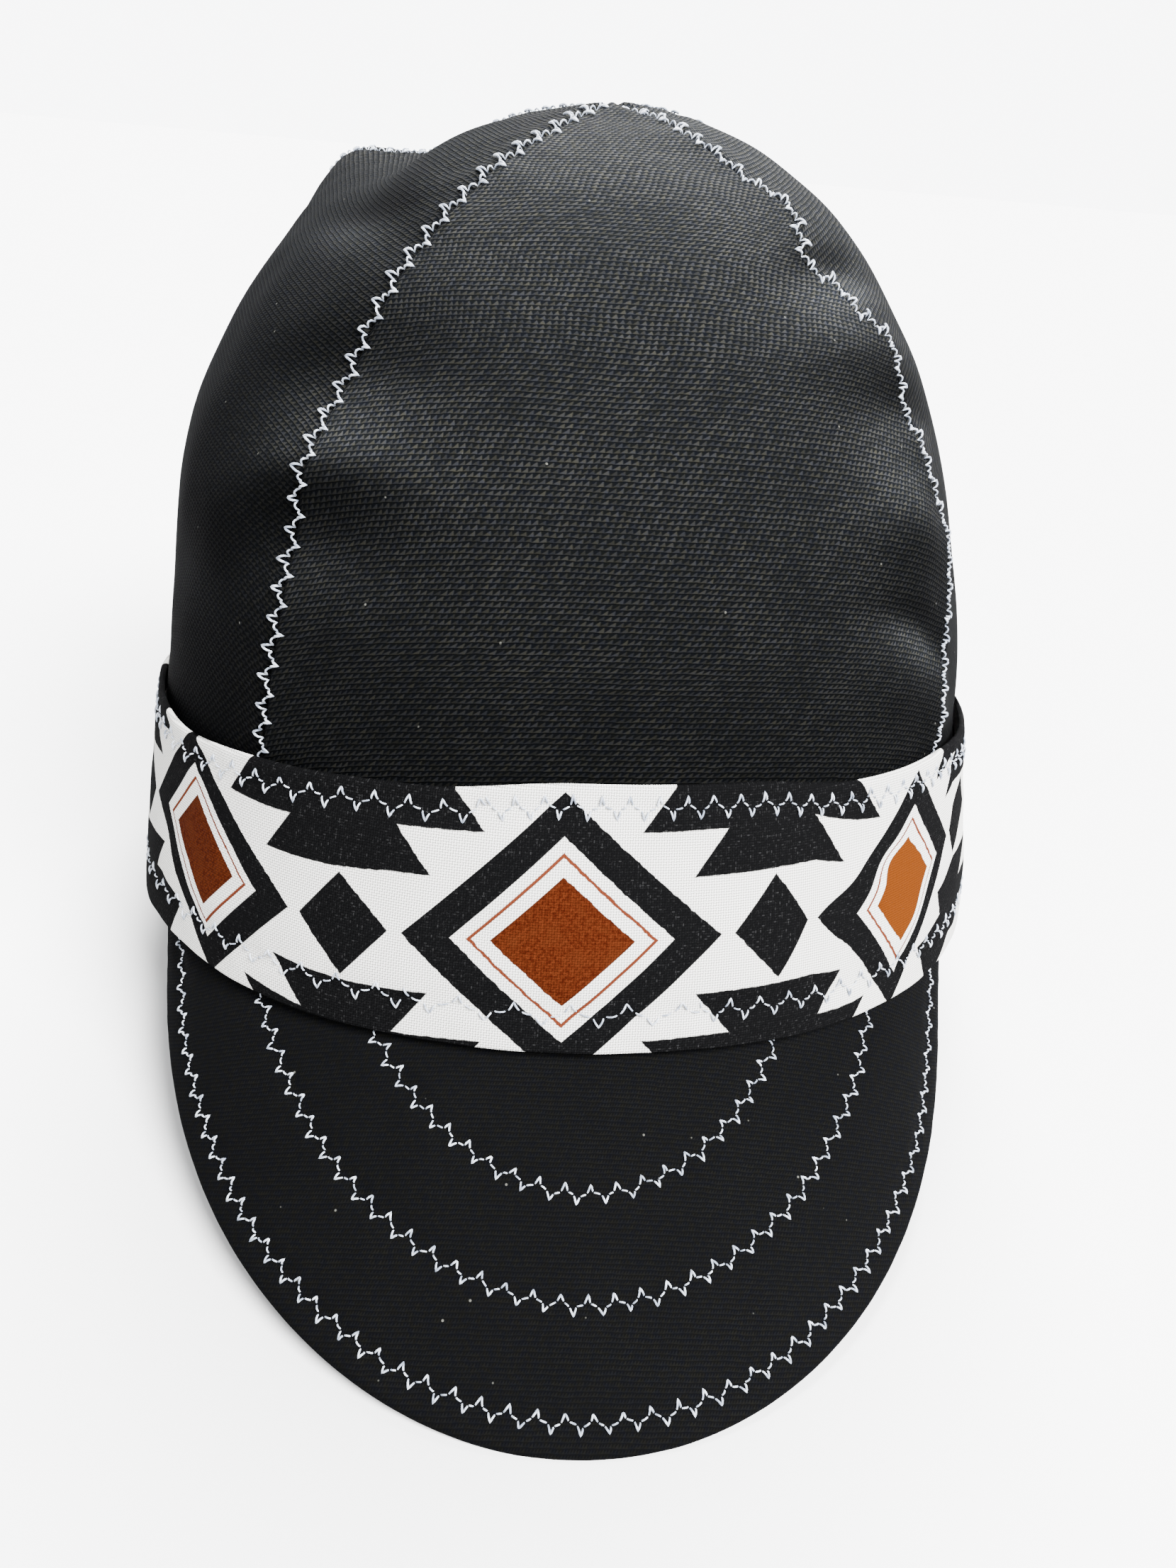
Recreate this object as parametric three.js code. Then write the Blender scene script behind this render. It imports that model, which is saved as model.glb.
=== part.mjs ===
import * as THREE from 'three';

// A welder's cap in black duck cloth, in millimetres: a crown of four panels, a short brim and a
// printed band sewn round the rim. Its front faces -Y, and +X is on the right of someone who
// faces it. The pieces are drawn as the cap is worn, with the rim level at height 0. The finished
// cap is then tipped back until the brim and the back of the band stand on the floor.

// Head opening
const HEAD_WIDTH = 167.2;
const HEAD_LENGTH = 202.4;
const HEAD_SQUARENESS = 2.21;

// Cloth and seams
const CROWN_CLOTH = 1.6;
const BAND_CLOTH = 1.2;
const SEAM_GAP = 0.3;

// Crown, with the bulge of its three profiles: a high crest gives a flat top, a high wall a full side
const CROWN_HEIGHT = 140.9;
const PROFILES = {
  left: { crest: 3.42, wall: 1.67 },
  right: { crest: 2.22, wall: 2.42 },
  ends: { crest: 2.45, wall: 2.57 },
};

// The hem is folded under the band, so the cloth stands out towards the rim
const HEM_FLARE = 3;

// The four seams run up from the rim and meet in front of the crown's top. Each starts at an angle
// from the centre front. Its drift is how far it strays to the right of a straight cut, at even
// steps from the rim up to the meeting, as a share of the crown's reach
const MEETING_REACH = 0.14;
const TIP_REACH = 0.006;
const SEAMS = {
  front_left: { angle: -37, drift: [0, 0, 0.004, 0.001, 0.006, 0.008, 0.011, 0.009, 0] },
  front_right: {
    angle: 49.6,
    drift: [0, 0.005, 0.01, 0.02, 0.046, 0.1, 0.103, 0.067, 0.039, 0.05, -0.005, -0.043,
      -0.008, -0.031, -0.032, -0.013, 0],
  },
  back_right: { angle: 130, drift: [0, 0.01, 0.02, 0.01, 0] },
  back_left: { angle: 238, drift: [0, -0.01, -0.02, -0.01, 0] },
};
const PANELS = [
  { name: 'crown_front_panel', from: SEAMS.front_left, to: SEAMS.front_right, turn: 0 },
  { name: 'crown_right_panel', from: SEAMS.front_right, to: SEAMS.back_right, turn: 0 },
  { name: 'crown_back_panel', from: SEAMS.back_right, to: SEAMS.back_left, turn: 0 },
  { name: 'crown_left_panel', from: SEAMS.back_left, to: SEAMS.front_left, turn: 360 },
];

// Swells and dents of the slack cloth. Angle is from the centre front, reach is 0 at the crown's
// top and 1 at the rim, around and down are the dent's size in the same share, and out is how
// far the cloth stands out or falls in, as a share of the crown's height
const FOLDS = [
  { angle: -133, reach: 0.34, around: 0.47, down: 0.19, out: 0.036 },
  { angle: -114, reach: 0.33, around: 0.135, down: 0.087, out: 0.083 },
  { angle: -101, reach: 0.25, around: 0.36, down: 0.067, out: -0.02 },
  { angle: 180, reach: 0.02, around: 0.09, down: 0.09, out: -0.02 },
];

// Band, from the rim's hem up to its top edge
const BAND_TOP_FRONT = 37.1;
const BAND_TOP_BACK = 30;
const BAND_DROP_FRONT = 4.4;
const BAND_DROP_BACK = 1.6;
const BAND_TOP_LEAN = 2.2;
const BAND_FOOT_LEAN = 0.7;

// In front the band's top edge waves. How far it rises is a share of its height there, at even
// steps of the angle from this far left of the centre front to as far right of it
const BAND_WAVE_REACH = 75;
const BAND_WAVE = [0, -0.008, -0.049, -0.043, -0.035, 0.015, 0.017, -0.034, -0.027, -0.035, 0];

// Brim, measured down its slope from the rim. Its outline is widest behind the rim line, and
// there it stays inside the head's width
const BRIM_LENGTH = 63.4;
const BRIM_SIDE_INSET = 9.7;
const BRIM_SETBACK = 23.7;
const BRIM_SQUARENESS = 1.96;
const BRIM_SKEW = 3;
const BRIM_DROOP = 45.5;
const BRIM_CLOTH = 2.6;

// The brim's seam allowance is turned up between the crown and the band
const TURNUP_HEIGHT = 8;
const TURNUP_CLOTH = 1.9;
// Past the turn-up's ends the band comes back to the crown within this angle
const TURNUP_FADE = 22;

// How deep the soft edges are pressed flat where the cap rests on the floor
const REST_SQUASH = 1.7;

// Facets
const PANEL_COLUMNS = 16;
const PANEL_ROWS = 24;
const BAND_COLUMNS = 96;
const BAND_ROWS = 4;
const BRIM_COLUMNS = 40;
const BRIM_ROWS = 8;
const HALVINGS = 30;

const BLACK_DUCK = { color: 0x17181b, roughness: 0.9, metalness: 0 };
const PRINTED_COTTON = { color: 0xd9d8d4, roughness: 0.85, metalness: 0 };

const radians = THREE.MathUtils.degToRad;

// A signed power, so that a superellipse runs through all four quarters
function signedPower(value, exponent) {
  return Math.sign(value) * Math.abs(value) ** exponent;
}

// Value of a table of evenly spaced entries, eased from each entry to the next
function fromTable(table, share) {
  const place = THREE.MathUtils.clamp(share, 0, 1) * (table.length - 1);
  const index = Math.min(Math.floor(place), table.length - 2);
  const step = THREE.MathUtils.smoothstep(place - index, 0, 1);
  return THREE.MathUtils.lerp(table[index], table[index + 1], step);
}

// How far the hem's folds push the cloth out at a height
function flareAt(height) {
  return HEM_FLARE * Math.max(0, 1 - height / BAND_TOP_FRONT);
}

// Share of the head's outline that a profile still has at a height
function narrowing(profile, height) {
  const share = THREE.MathUtils.clamp(height / CROWN_HEIGHT, 0, 1);
  return (1 - share ** profile.crest) ** (1 / profile.wall);
}

// Half width on one side and half length of the crown's outer face at a height, let out by
// an offset
function halfSizes(toRight, height, offset) {
  const side = toRight ? PROFILES.right : PROFILES.left;
  const letOut = flareAt(height) + offset;
  return {
    width: (HEAD_WIDTH / 2) * narrowing(side, height) + letOut,
    length: (HEAD_LENGTH / 2) * narrowing(PROFILES.ends, height) + letOut,
  };
}

// Point of the crown's outline at a height, let out by an offset
function outlinePoint(angle, height, offset) {
  const across = signedPower(Math.sin(angle), 2 / HEAD_SQUARENESS);
  const along = signedPower(Math.cos(angle), 2 / HEAD_SQUARENESS);
  const half = halfSizes(across > 0, height, offset);
  return new THREE.Vector3(half.width * across, -half.length * along, height);
}

// Where the same outline lies in front, at a distance to the side
function outlineFront(x, height, offset) {
  const half = halfSizes(x > 0, height, offset);
  const reach = 1 - Math.abs(x / half.width) ** HEAD_SQUARENESS;
  return -half.length * reach ** (1 / HEAD_SQUARENESS);
}

// Closed cloth wall between two grids of points. The columns run round the cap with the angle,
// the rows run up. A wall that goes all the way round is joined to itself
function clothWall(outer, inner, goesRound) {
  const columns = outer.length;
  const rows = outer[0].length;
  const points = [...outer.flat(), ...inner.flat()];
  const indices = [];
  const at = (side, column, row) => (side * columns + (column % columns)) * rows + row;
  const quad = (a, b, c, d) => indices.push(a, b, c, a, c, d);
  const spans = goesRound ? columns : columns - 1;
  for (let i = 0; i < spans; i += 1) {
    for (let j = 0; j < rows - 1; j += 1) {
      quad(at(0, i, j), at(0, i + 1, j), at(0, i + 1, j + 1), at(0, i, j + 1));
      quad(at(1, i, j), at(1, i, j + 1), at(1, i + 1, j + 1), at(1, i + 1, j));
    }
    quad(at(1, i, 0), at(1, i + 1, 0), at(0, i + 1, 0), at(0, i, 0));
    quad(at(0, i, rows - 1), at(0, i + 1, rows - 1), at(1, i + 1, rows - 1), at(1, i, rows - 1));
  }
  if (!goesRound) {
    for (let j = 0; j < rows - 1; j += 1) {
      quad(at(1, 0, j), at(0, 0, j), at(0, 0, j + 1), at(1, 0, j + 1));
      quad(at(0, columns - 1, j), at(1, columns - 1, j),
        at(1, columns - 1, j + 1), at(0, columns - 1, j + 1));
    }
  }
  const geometry = new THREE.BufferGeometry().setFromPoints(points);
  geometry.setIndex(indices);
  geometry.computeVertexNormals();
  return geometry;
}

// Crown. Its cloth is described on a flat disc, as if the cap were opened out: the disc's middle
// is the crown's top and its rim is the cap's rim. Right and back are a place on that disc

// Height above the rim at a place on the disc
function discHeight(right, back) {
  return CROWN_HEIGHT * Math.max(0, Math.cos(Math.hypot(right, back) * Math.PI / 2));
}

function smoothCrown(right, back) {
  return outlinePoint(Math.atan2(right, -back), discHeight(right, back), 0);
}

// How far the cloth stands out in its folds, which the band holds flat along the rim
function foldDepth(right, back) {
  const freedom = THREE.MathUtils.smoothstep(
    discHeight(right, back), BAND_TOP_FRONT, 2 * BAND_TOP_FRONT);
  return FOLDS.reduce((sum, fold) => {
    const direction = radians(fold.angle);
    const outwards = right * Math.sin(direction) - back * Math.cos(direction) - fold.reach;
    const sideways = right * Math.cos(direction) + back * Math.sin(direction);
    const spread = (outwards / fold.down) ** 2 + (sideways / fold.around) ** 2;
    return sum + freedom * fold.out * CROWN_HEIGHT * Math.exp(-spread);
  }, 0);
}

// Outward direction of a surface that is drawn on the disc
function facing(surface, right, back) {
  const step = 0.004;
  const across = surface(right + step, back).sub(surface(right - step, back));
  const along = surface(right, back + step).sub(surface(right, back - step));
  return across.cross(along).normalize();
}

function foldedCrown(right, back) {
  const depth = foldDepth(right, back);
  return smoothCrown(right, back).addScaledVector(facing(smoothCrown, right, back), depth);
}

// Place on the disc, at a share of the way across a panel and up from the rim to the meeting
function panelPlace(panel, across, up) {
  const angle = radians(THREE.MathUtils.lerp(panel.from.angle, panel.to.angle + panel.turn, across));
  const drift = THREE.MathUtils.lerp(
    fromTable(panel.from.drift, up), fromTable(panel.to.drift, up), across);
  const way = new THREE.Vector2(Math.sin(angle), MEETING_REACH - Math.cos(angle));
  const aside = new THREE.Vector2(-way.y, way.x).normalize();
  const remaining = 1 - up * (1 - TIP_REACH);
  const meeting = new THREE.Vector2(0, -MEETING_REACH);
  return meeting.addScaledVector(way, remaining).addScaledVector(aside, drift);
}

// One panel, whose rows stop half a seam gap short of its two seams
function crownPanel(panel) {
  const outer = [];
  const inner = [];
  const seamPoint = (across, up) => {
    const place = panelPlace(panel, across, up);
    return foldedCrown(place.x, place.y);
  };
  for (let i = 0; i <= PANEL_COLUMNS; i += 1) {
    outer.push([]);
    inner.push([]);
    for (let j = 0; j <= PANEL_ROWS; j += 1) {
      const up = j / PANEL_ROWS;
      const trim = SEAM_GAP / 2 / seamPoint(0, up).distanceTo(seamPoint(1, up));
      const across = THREE.MathUtils.lerp(trim, 1 - trim, i / PANEL_COLUMNS);
      const place = panelPlace(panel, across, up);
      const point = foldedCrown(place.x, place.y);
      const outwards = facing(foldedCrown, place.x, place.y);
      outer[i].push(point);
      inner[i].push(point.clone().addScaledVector(outwards, -CROWN_CLOTH));
    }
  }
  return clothWall(outer, inner, false);
}

// Brim, in columns that run straight forward and down from the head's outline

const slopeForward = Math.cos(radians(BRIM_DROOP));
const slopeDown = Math.sin(radians(BRIM_DROOP));

const brimHalfWidth = HEAD_WIDTH / 2 - BRIM_SIDE_INSET;

// The head's line that the slope starts from, without the flare of the hem
function headFront(x) {
  return outlineFront(x, 0, -HEM_FLARE);
}

// Place to the side and length down the slope of the brim's edge. The sweep goes from a quarter
// turn left of the tip to a quarter turn right of it, where the edge has run up under the band
function brimEdge(sweep) {
  const side = signedPower(Math.sin(sweep), 2 / BRIM_SQUARENESS);
  const forward = Math.max(0, Math.cos(sweep)) ** (2 / BRIM_SQUARENESS);
  const x = brimHalfWidth * side + BRIM_SKEW * forward;
  const ahead = (BRIM_LENGTH + BRIM_SETBACK) * forward - BRIM_SETBACK;
  return { x, length: ahead + (headFront(x) + HEAD_LENGTH / 2) * slopeForward };
}

// Direction out of the brim's upper face, from the head's outline and the slope
function brimFacing(x) {
  const step = 0.1;
  const slant = (headFront(x + step) - headFront(x - step)) / (2 * step);
  const alongHead = new THREE.Vector3(1, slant, 0);
  const downSlope = new THREE.Vector3(0, -slopeForward, -slopeDown);
  return downSlope.cross(alongHead).normalize();
}

// The slope meets the turn-up just under the band's foot, at the depth that the droop gives
const bendDrop = (HEM_FLARE + SEAM_GAP + TURNUP_CLOTH) * Math.tan(radians(BRIM_DROOP));
const bendThickness = BRIM_CLOTH / slopeForward - TURNUP_CLOTH * Math.tan(radians(BRIM_DROOP));

// A column of the brim: up the slope from its edge to the bend, then up between crown and band
function brimColumn(sweep) {
  const { x, length } = brimEdge(sweep);
  const inwards = brimFacing(x).multiplyScalar(-BRIM_CLOTH);
  const edge = new THREE.Vector3(x, headFront(x) - length * slopeForward, -length * slopeDown);
  const edgeBelow = edge.clone().add(inwards);
  const outerAt = (height, level) => new THREE.Vector3(
    x, outlineFront(x, level, SEAM_GAP + TURNUP_CLOTH), height);
  const innerAt = (height, level) => new THREE.Vector3(
    edgeBelow.x, outlineFront(edgeBelow.x, level, SEAM_GAP), height);
  const bend = outerAt(-bendDrop, 0);
  const bendBelow = innerAt(-bendDrop - bendThickness, 0);
  const column = { outer: [], inner: [] };
  for (let j = 0; j <= BRIM_ROWS; j += 1) {
    column.outer.push(edge.clone().lerp(bend, j / BRIM_ROWS));
    column.inner.push(edgeBelow.clone().lerp(bendBelow, j / BRIM_ROWS));
  }
  for (const height of [0, TURNUP_HEIGHT]) {
    column.outer.push(outerAt(height, height));
    column.inner.push(innerAt(height, height));
  }
  return column;
}

// Sweep at which the edge has run in as far as the turn-up, to the left (-1) or the right (1)
function edgeEnd(side) {
  let ahead = 0;
  let behind = Math.PI / 2;
  for (let i = 0; i < HALVINGS; i += 1) {
    const middle = (ahead + behind) / 2;
    const { x, length } = brimEdge(side * middle);
    const turnup = outlineFront(x, 0, SEAM_GAP + TURNUP_CLOTH);
    if (headFront(x) - length * slopeForward < turnup) {
      ahead = middle;
    } else {
      behind = middle;
    }
  }
  return side * ahead;
}

function brim() {
  const leftEnd = edgeEnd(-1);
  const rightEnd = edgeEnd(1);
  const columns = [];
  for (let i = 0; i <= BRIM_COLUMNS; i += 1) {
    columns.push(brimColumn(THREE.MathUtils.lerp(leftEnd, rightEnd, i / BRIM_COLUMNS)));
  }
  return clothWall(columns.map((c) => c.outer), columns.map((c) => c.inner), false);
}

// Band, a ring of folded cotton that lies on the crown, and in front on the brim's turn-up

// Share of the way from the back of the cap to its front
function frontShare(angle) {
  return (1 + Math.cos(angle)) / 2;
}

// The same direction as an angle to the left (under 0) or to the right of the centre front
function fromCentre(angle) {
  return THREE.MathUtils.euclideanModulo(angle + Math.PI, 2 * Math.PI) - Math.PI;
}

function bandTop(angle) {
  const reach = radians(BAND_WAVE_REACH);
  const wave = fromTable(BAND_WAVE, (fromCentre(angle) + reach) / (2 * reach));
  return THREE.MathUtils.lerp(BAND_TOP_BACK, BAND_TOP_FRONT, frontShare(angle))
    + BAND_TOP_LEAN * Math.sin(angle) + BAND_TOP_FRONT * wave;
}

function bandFoot(angle) {
  return -THREE.MathUtils.lerp(BAND_DROP_BACK, BAND_DROP_FRONT, frontShare(angle))
    + BAND_FOOT_LEAN * Math.sin(angle);
}

// Angle on the head's outline at a distance to the side
function angleAt(x) {
  const { width } = halfSizes(x > 0, 0, SEAM_GAP + TURNUP_CLOTH);
  return Math.asin((Math.abs(x) / width) ** (HEAD_SQUARENESS / 2));
}

const turnupEnd = angleAt(brimHalfWidth);

// How far the band is lifted off the crown by the brim's turn-up
function bandLift(angle, height) {
  const aside = Math.abs(fromCentre(angle));
  const fade = 1 - THREE.MathUtils.smoothstep(aside, turnupEnd, turnupEnd + radians(TURNUP_FADE));
  const above = (bandTop(angle) - height) / (bandTop(angle) - TURNUP_HEIGHT);
  return (TURNUP_CLOTH + SEAM_GAP) * fade * THREE.MathUtils.clamp(above, 0, 1);
}

function band() {
  const outer = [];
  const inner = [];
  for (let i = 0; i < BAND_COLUMNS; i += 1) {
    const angle = (2 * Math.PI * i) / BAND_COLUMNS;
    outer.push([]);
    inner.push([]);
    const heights = [bandFoot(angle)];
    for (let j = 0; j < BAND_ROWS; j += 1) {
      heights.push(THREE.MathUtils.lerp(TURNUP_HEIGHT, bandTop(angle), j / (BAND_ROWS - 1)));
    }
    for (const height of heights) {
      const offset = SEAM_GAP + bandLift(angle, height);
      outer[i].push(outlinePoint(angle, height, offset + BAND_CLOTH));
      inner[i].push(outlinePoint(angle, height, offset));
    }
  }
  return clothWall(outer, inner, true);
}

// The tipped cap stands on the lowest place of the band's back and of the brim's tip
const standBack = outlinePoint(Math.PI, bandFoot(Math.PI), SEAM_GAP + BAND_CLOTH);
const standFront = brimColumn(0).inner[0];
const tilt = Math.atan2(standBack.z - standFront.z, standBack.y - standFront.y);
const floorUp = new THREE.Vector3(0, -Math.sin(tilt), Math.cos(tilt));
const floorHeight = floorUp.dot(standBack) + REST_SQUASH;

// Cloth that would go through the floor is pressed up along its wall until it lies flat on it
function pressFlat(geometry) {
  const place = geometry.getAttribute('position');
  const point = new THREE.Vector3();
  for (let i = 0; i < place.count; i += 1) {
    point.fromBufferAttribute(place, i);
    const below = floorHeight - floorUp.dot(point);
    if (below > 0) {
      place.setZ(i, point.z + below / floorUp.z);
    }
  }
  return geometry;
}

function piece(name, geometry, finish) {
  const mesh = new THREE.Mesh(pressFlat(geometry), new THREE.MeshStandardMaterial(finish));
  mesh.name = name;
  return mesh;
}

const worn = new THREE.Group();
for (const panel of PANELS) {
  worn.add(piece(panel.name, crownPanel(panel), BLACK_DUCK));
}
worn.add(piece('brim', brim(), BLACK_DUCK));
worn.add(piece('band', band(), PRINTED_COTTON));

// Tipped back on its brim, with the middle of its footprint over the origin
worn.rotation.x = -tilt;
const middle = new THREE.Box3().setFromObject(worn, true).getCenter(new THREE.Vector3());
worn.position.set(-middle.x, -middle.y, -floorHeight);

const cap = new THREE.Group();
cap.add(worn);

export default cap;
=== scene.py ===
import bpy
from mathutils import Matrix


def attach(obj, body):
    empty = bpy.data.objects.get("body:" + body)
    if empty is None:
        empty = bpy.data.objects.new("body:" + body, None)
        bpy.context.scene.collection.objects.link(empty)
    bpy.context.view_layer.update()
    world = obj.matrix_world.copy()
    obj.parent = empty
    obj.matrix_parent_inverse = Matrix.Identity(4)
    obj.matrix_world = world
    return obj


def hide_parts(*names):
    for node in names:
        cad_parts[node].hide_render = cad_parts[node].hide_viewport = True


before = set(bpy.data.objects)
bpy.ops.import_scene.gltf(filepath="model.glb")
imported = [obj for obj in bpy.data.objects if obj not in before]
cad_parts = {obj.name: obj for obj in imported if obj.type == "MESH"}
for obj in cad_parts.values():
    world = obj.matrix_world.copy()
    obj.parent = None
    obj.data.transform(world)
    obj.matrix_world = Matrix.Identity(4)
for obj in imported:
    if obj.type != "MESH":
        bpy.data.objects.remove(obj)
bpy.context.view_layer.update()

import math

import bpy
import numpy as np
from mathutils import Matrix, Vector, noise


# Where it stands and is seen
# A plain pale floor, a pale room and soft studio light. The camera looks down at the cap's face
# from just in front of it, a little from the left and turned a little to the side.

CAMERA_SPOT = Vector((-0.01105, -0.22026, 0.16315))
CAMERA_AIM = Vector((0.00748, 0.02272, 0.01932))
CAMERA_ROLL = math.radians(5.27)
CAMERA_LENS = 27.04
FLOOR_SIZE = 6.0
ROOM_LIGHT, ROOM_SEEN = 1.25, 8.2

camera_data = bpy.data.cameras.new("camera")
camera_data.lens = CAMERA_LENS
camera_data.sensor_width = 36
camera_data.clip_start = 0.01
camera = bpy.data.objects.new("camera", camera_data)
bpy.context.collection.objects.link(camera)
looking = (CAMERA_AIM - CAMERA_SPOT).to_track_quat("-Z", "Y").to_matrix().to_4x4()
camera.matrix_world = Matrix.Translation(CAMERA_SPOT) @ looking @ Matrix.Rotation(CAMERA_ROLL, 4, "Z")
bpy.context.scene.camera = camera


class Shader:
    """A material and a short way to write its nodes: every input is a number or a socket."""

    def __init__(self, name):
        self.material = bpy.data.materials.new(name)
        self.material.use_nodes = True
        self.tree = self.material.node_tree
        self.surface = self.tree.nodes["Principled BSDF"]

    def feed(self, socket, value):
        if isinstance(value, bpy.types.NodeSocket):
            self.tree.links.new(value, socket)
        else:
            socket.default_value = value

    def add(self, kind, inputs=(), **settings):
        made = self.tree.nodes.new(kind)
        for name, value in settings.items():
            setattr(made, name, value)
        for key, value in dict(inputs).items():
            self.feed(made.inputs[key], value)
        return made

    def math(self, operation, *values):
        made = self.add("ShaderNodeMath", enumerate(values), operation=operation)
        return made.outputs[0]

    def times(self, first, second):
        return self.math("MULTIPLY", first, second)

    def times_plus(self, first, second, third):
        return self.math("MULTIPLY_ADD", first, second, third)

    def plus(self, first, second):
        return self.math("ADD", first, second)

    def minus(self, first, second):
        return self.math("SUBTRACT", first, second)

    def larger(self, first, second):
        return self.math("MAXIMUM", first, second)

    def ramp(self, value, low, high, start=0.0, end=1.0):
        """The value's place between low and high, eased, from start to end."""
        made = self.add("ShaderNodeMapRange", {"Value": value, "From Min": low, "From Max": high,
                                               "To Min": start, "To Max": end},
                        interpolation_type="SMOOTHSTEP")
        return made.outputs["Result"]

    def mix(self, share, first, second, blend="MIX"):
        made = self.add("ShaderNodeMix", data_type="RGBA", blend_type=blend)
        sockets = [s for s in made.inputs if s.type == "RGBA"]
        self.feed(made.inputs["Factor"], share)
        self.feed(sockets[0], first)
        self.feed(sockets[1], second)
        return next(s for s in made.outputs if s.type == "RGBA")

    def uv(self, name):
        """The two coordinates of a UV map, which the cloths keep in millimetres."""
        place = self.add("ShaderNodeUVMap", uv_map=name)
        parts = self.add("ShaderNodeSeparateXYZ", {0: place.outputs["UV"]})
        return parts.outputs["X"], parts.outputs["Y"]

    def plane(self, x, y, z=0.0):
        return self.add("ShaderNodeCombineXYZ", {0: x, 1: y, 2: z}).outputs[0]

    def noise(self, vector, scale, detail=2.0, roughness=0.5):
        made = self.add("ShaderNodeTexNoise", {"Vector": vector, "Scale": scale, "Detail": detail,
                                               "Roughness": roughness})
        return made.outputs["Fac"]

    def finish(self, color, roughness, bump=None, depth=0.0, strength=1.0):
        self.feed(self.surface.inputs["Base Color"], color)
        self.feed(self.surface.inputs["Roughness"], roughness)
        if bump is not None:
            made = self.add("ShaderNodeBump", {"Height": bump, "Distance": depth,
                                               "Strength": strength})
            self.feed(self.surface.inputs["Normal"], made.outputs["Normal"])
        return self.material


def show(name, mesh, material):
    """Puts a mesh in the scene as a piece with one material."""
    mesh.materials.clear()
    mesh.materials.append(material)
    piece = bpy.data.objects.new(name, mesh)
    bpy.context.collection.objects.link(piece)
    return piece


floor_paint = Shader("pale_floor")
speckle = floor_paint.noise(floor_paint.add("ShaderNodeTexCoord").outputs["Object"], 40.0)
paper = floor_paint.mix(speckle, (0.82, 0.82, 0.82, 1), (0.84, 0.84, 0.84, 1))
looked_at = floor_paint.add("ShaderNodeLightPath").outputs["Is Camera Ray"]
floor_paint.finish(floor_paint.mix(looked_at, (0.38, 0.38, 0.38, 1), paper), 0.95)
floor_mesh = bpy.data.meshes.new("floor")
half = FLOOR_SIZE / 2
floor_mesh.from_pydata([(-half, -half, 0), (half, -half, 0), (half, half, 0), (-half, half, 0)],
                       [], [(0, 1, 2, 3)])
show("floor", floor_mesh, floor_paint.material)

room = bpy.data.worlds.new("pale_room")
room.use_nodes = True
room_nodes = room.node_tree.nodes
seen = room_nodes.new("ShaderNodeLightPath").outputs["Is Camera Ray"]
brightness = room_nodes.new("ShaderNodeMapRange")
brightness.inputs["To Min"].default_value = ROOM_LIGHT
brightness.inputs["To Max"].default_value = ROOM_SEEN
room_nodes["Background"].inputs["Color"].default_value = (0.98, 0.99, 1.0, 1)
room.node_tree.links.new(seen, brightness.inputs["Value"])
room.node_tree.links.new(brightness.outputs["Result"], room_nodes["Background"].inputs["Strength"])
bpy.context.scene.world = room

LIGHTS = [
    # name, where it comes from, softness in degrees, strength
    ("key", (0.56, -0.53, 0.88), 30, 21.5),
    ("fill", (-0.85, -0.60, 0.45), 50, 0.8),
    ("top", (0.10, 0.75, 0.75), 30, 18.0),
]
for name, source, softness, strength in LIGHTS:
    lamp = bpy.data.lights.new(name, "SUN")
    lamp.angle = math.radians(softness)
    lamp.energy = strength
    holder = bpy.data.objects.new(name, lamp)
    holder.location = source
    holder.rotation_euler = (-Vector(source)).to_track_quat("-Z", "Y").to_euler()
    bpy.context.collection.objects.link(holder)


# The crown
# Four panels of black cotton duck, cut to bulge and sewn edge to edge. They are drawn here as the
# cap is worn, in millimetres, with the rim level at height 0 and the face towards -Y, and are
# then tipped back to the rest that the cap takes on its brim and the back of its band.

HEAD_WIDTH = 167.2
HEAD_LENGTH = 202.4
HEAD_SQUARENESS = 2.21
CROWN_HEIGHT = 140.9
CROWN_CLOTH = 1.6
HEM_FLARE = 3.0
SEAM_GAP = 0.3
BAND_TOP_FRONT, BAND_TOP_BACK, BAND_TOP_LEAN = 37.1, 30.0, 2.2
BAND_WAVE_REACH = math.radians(75)
BAND_WAVE = (0, -0.008, -0.049, -0.043, -0.035, 0.015, 0.017, -0.034, -0.027, -0.035, 0)
PROFILES = {"left": (3.42, 1.67), "right": (2.22, 2.42), "ends": (2.45, 2.57)}
MEETING_REACH = 0.14
SEAMS = {
    "front_left": (-37, (0, 0, 0.004, 0.001, 0.006, 0.008, 0.011, 0.009, 0)),
    "front_right": (49.6, (0, 0.005, 0.01, 0.02, 0.046, 0.1, 0.103, 0.067, 0.039, 0.05, -0.005,
                           -0.043, -0.008, -0.031, -0.032, -0.013, 0)),
    "back_right": (130, (0, 0.01, 0.02, 0.01, 0)),
    "back_left": (238, (0, -0.01, 0.01, 0.02, 0)),
}
PANELS = {
    "crown_front_panel": ("front_left", "front_right", 0),
    "crown_right_panel": ("front_right", "back_right", 0),
    "crown_back_panel": ("back_right", "back_left", 0),
    "crown_left_panel": ("back_left", "front_left", 360),
}

# Swells and dents of the slack cloth: angle from the centre front, reach from the crown's top (0)
# to the rim (1), size around and down in the same share, and height out as a share of the crown's
FOLDS = [
    (-133, 0.34, 0.47, 0.19, 0.036),
    (-114, 0.33, 0.135, 0.087, 0.083),
    (-101, 0.25, 0.36, 0.067, -0.02),
    (180, 0.02, 0.09, 0.09, -0.02),
]

REST_TILT = math.radians(10.3216)
REST_SHIFT = np.array((0.057, 22.636, 18.836))

PANEL_COLUMNS, PANEL_ROWS = 88, 120
PANEL_CROWDING = 0.11


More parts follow.
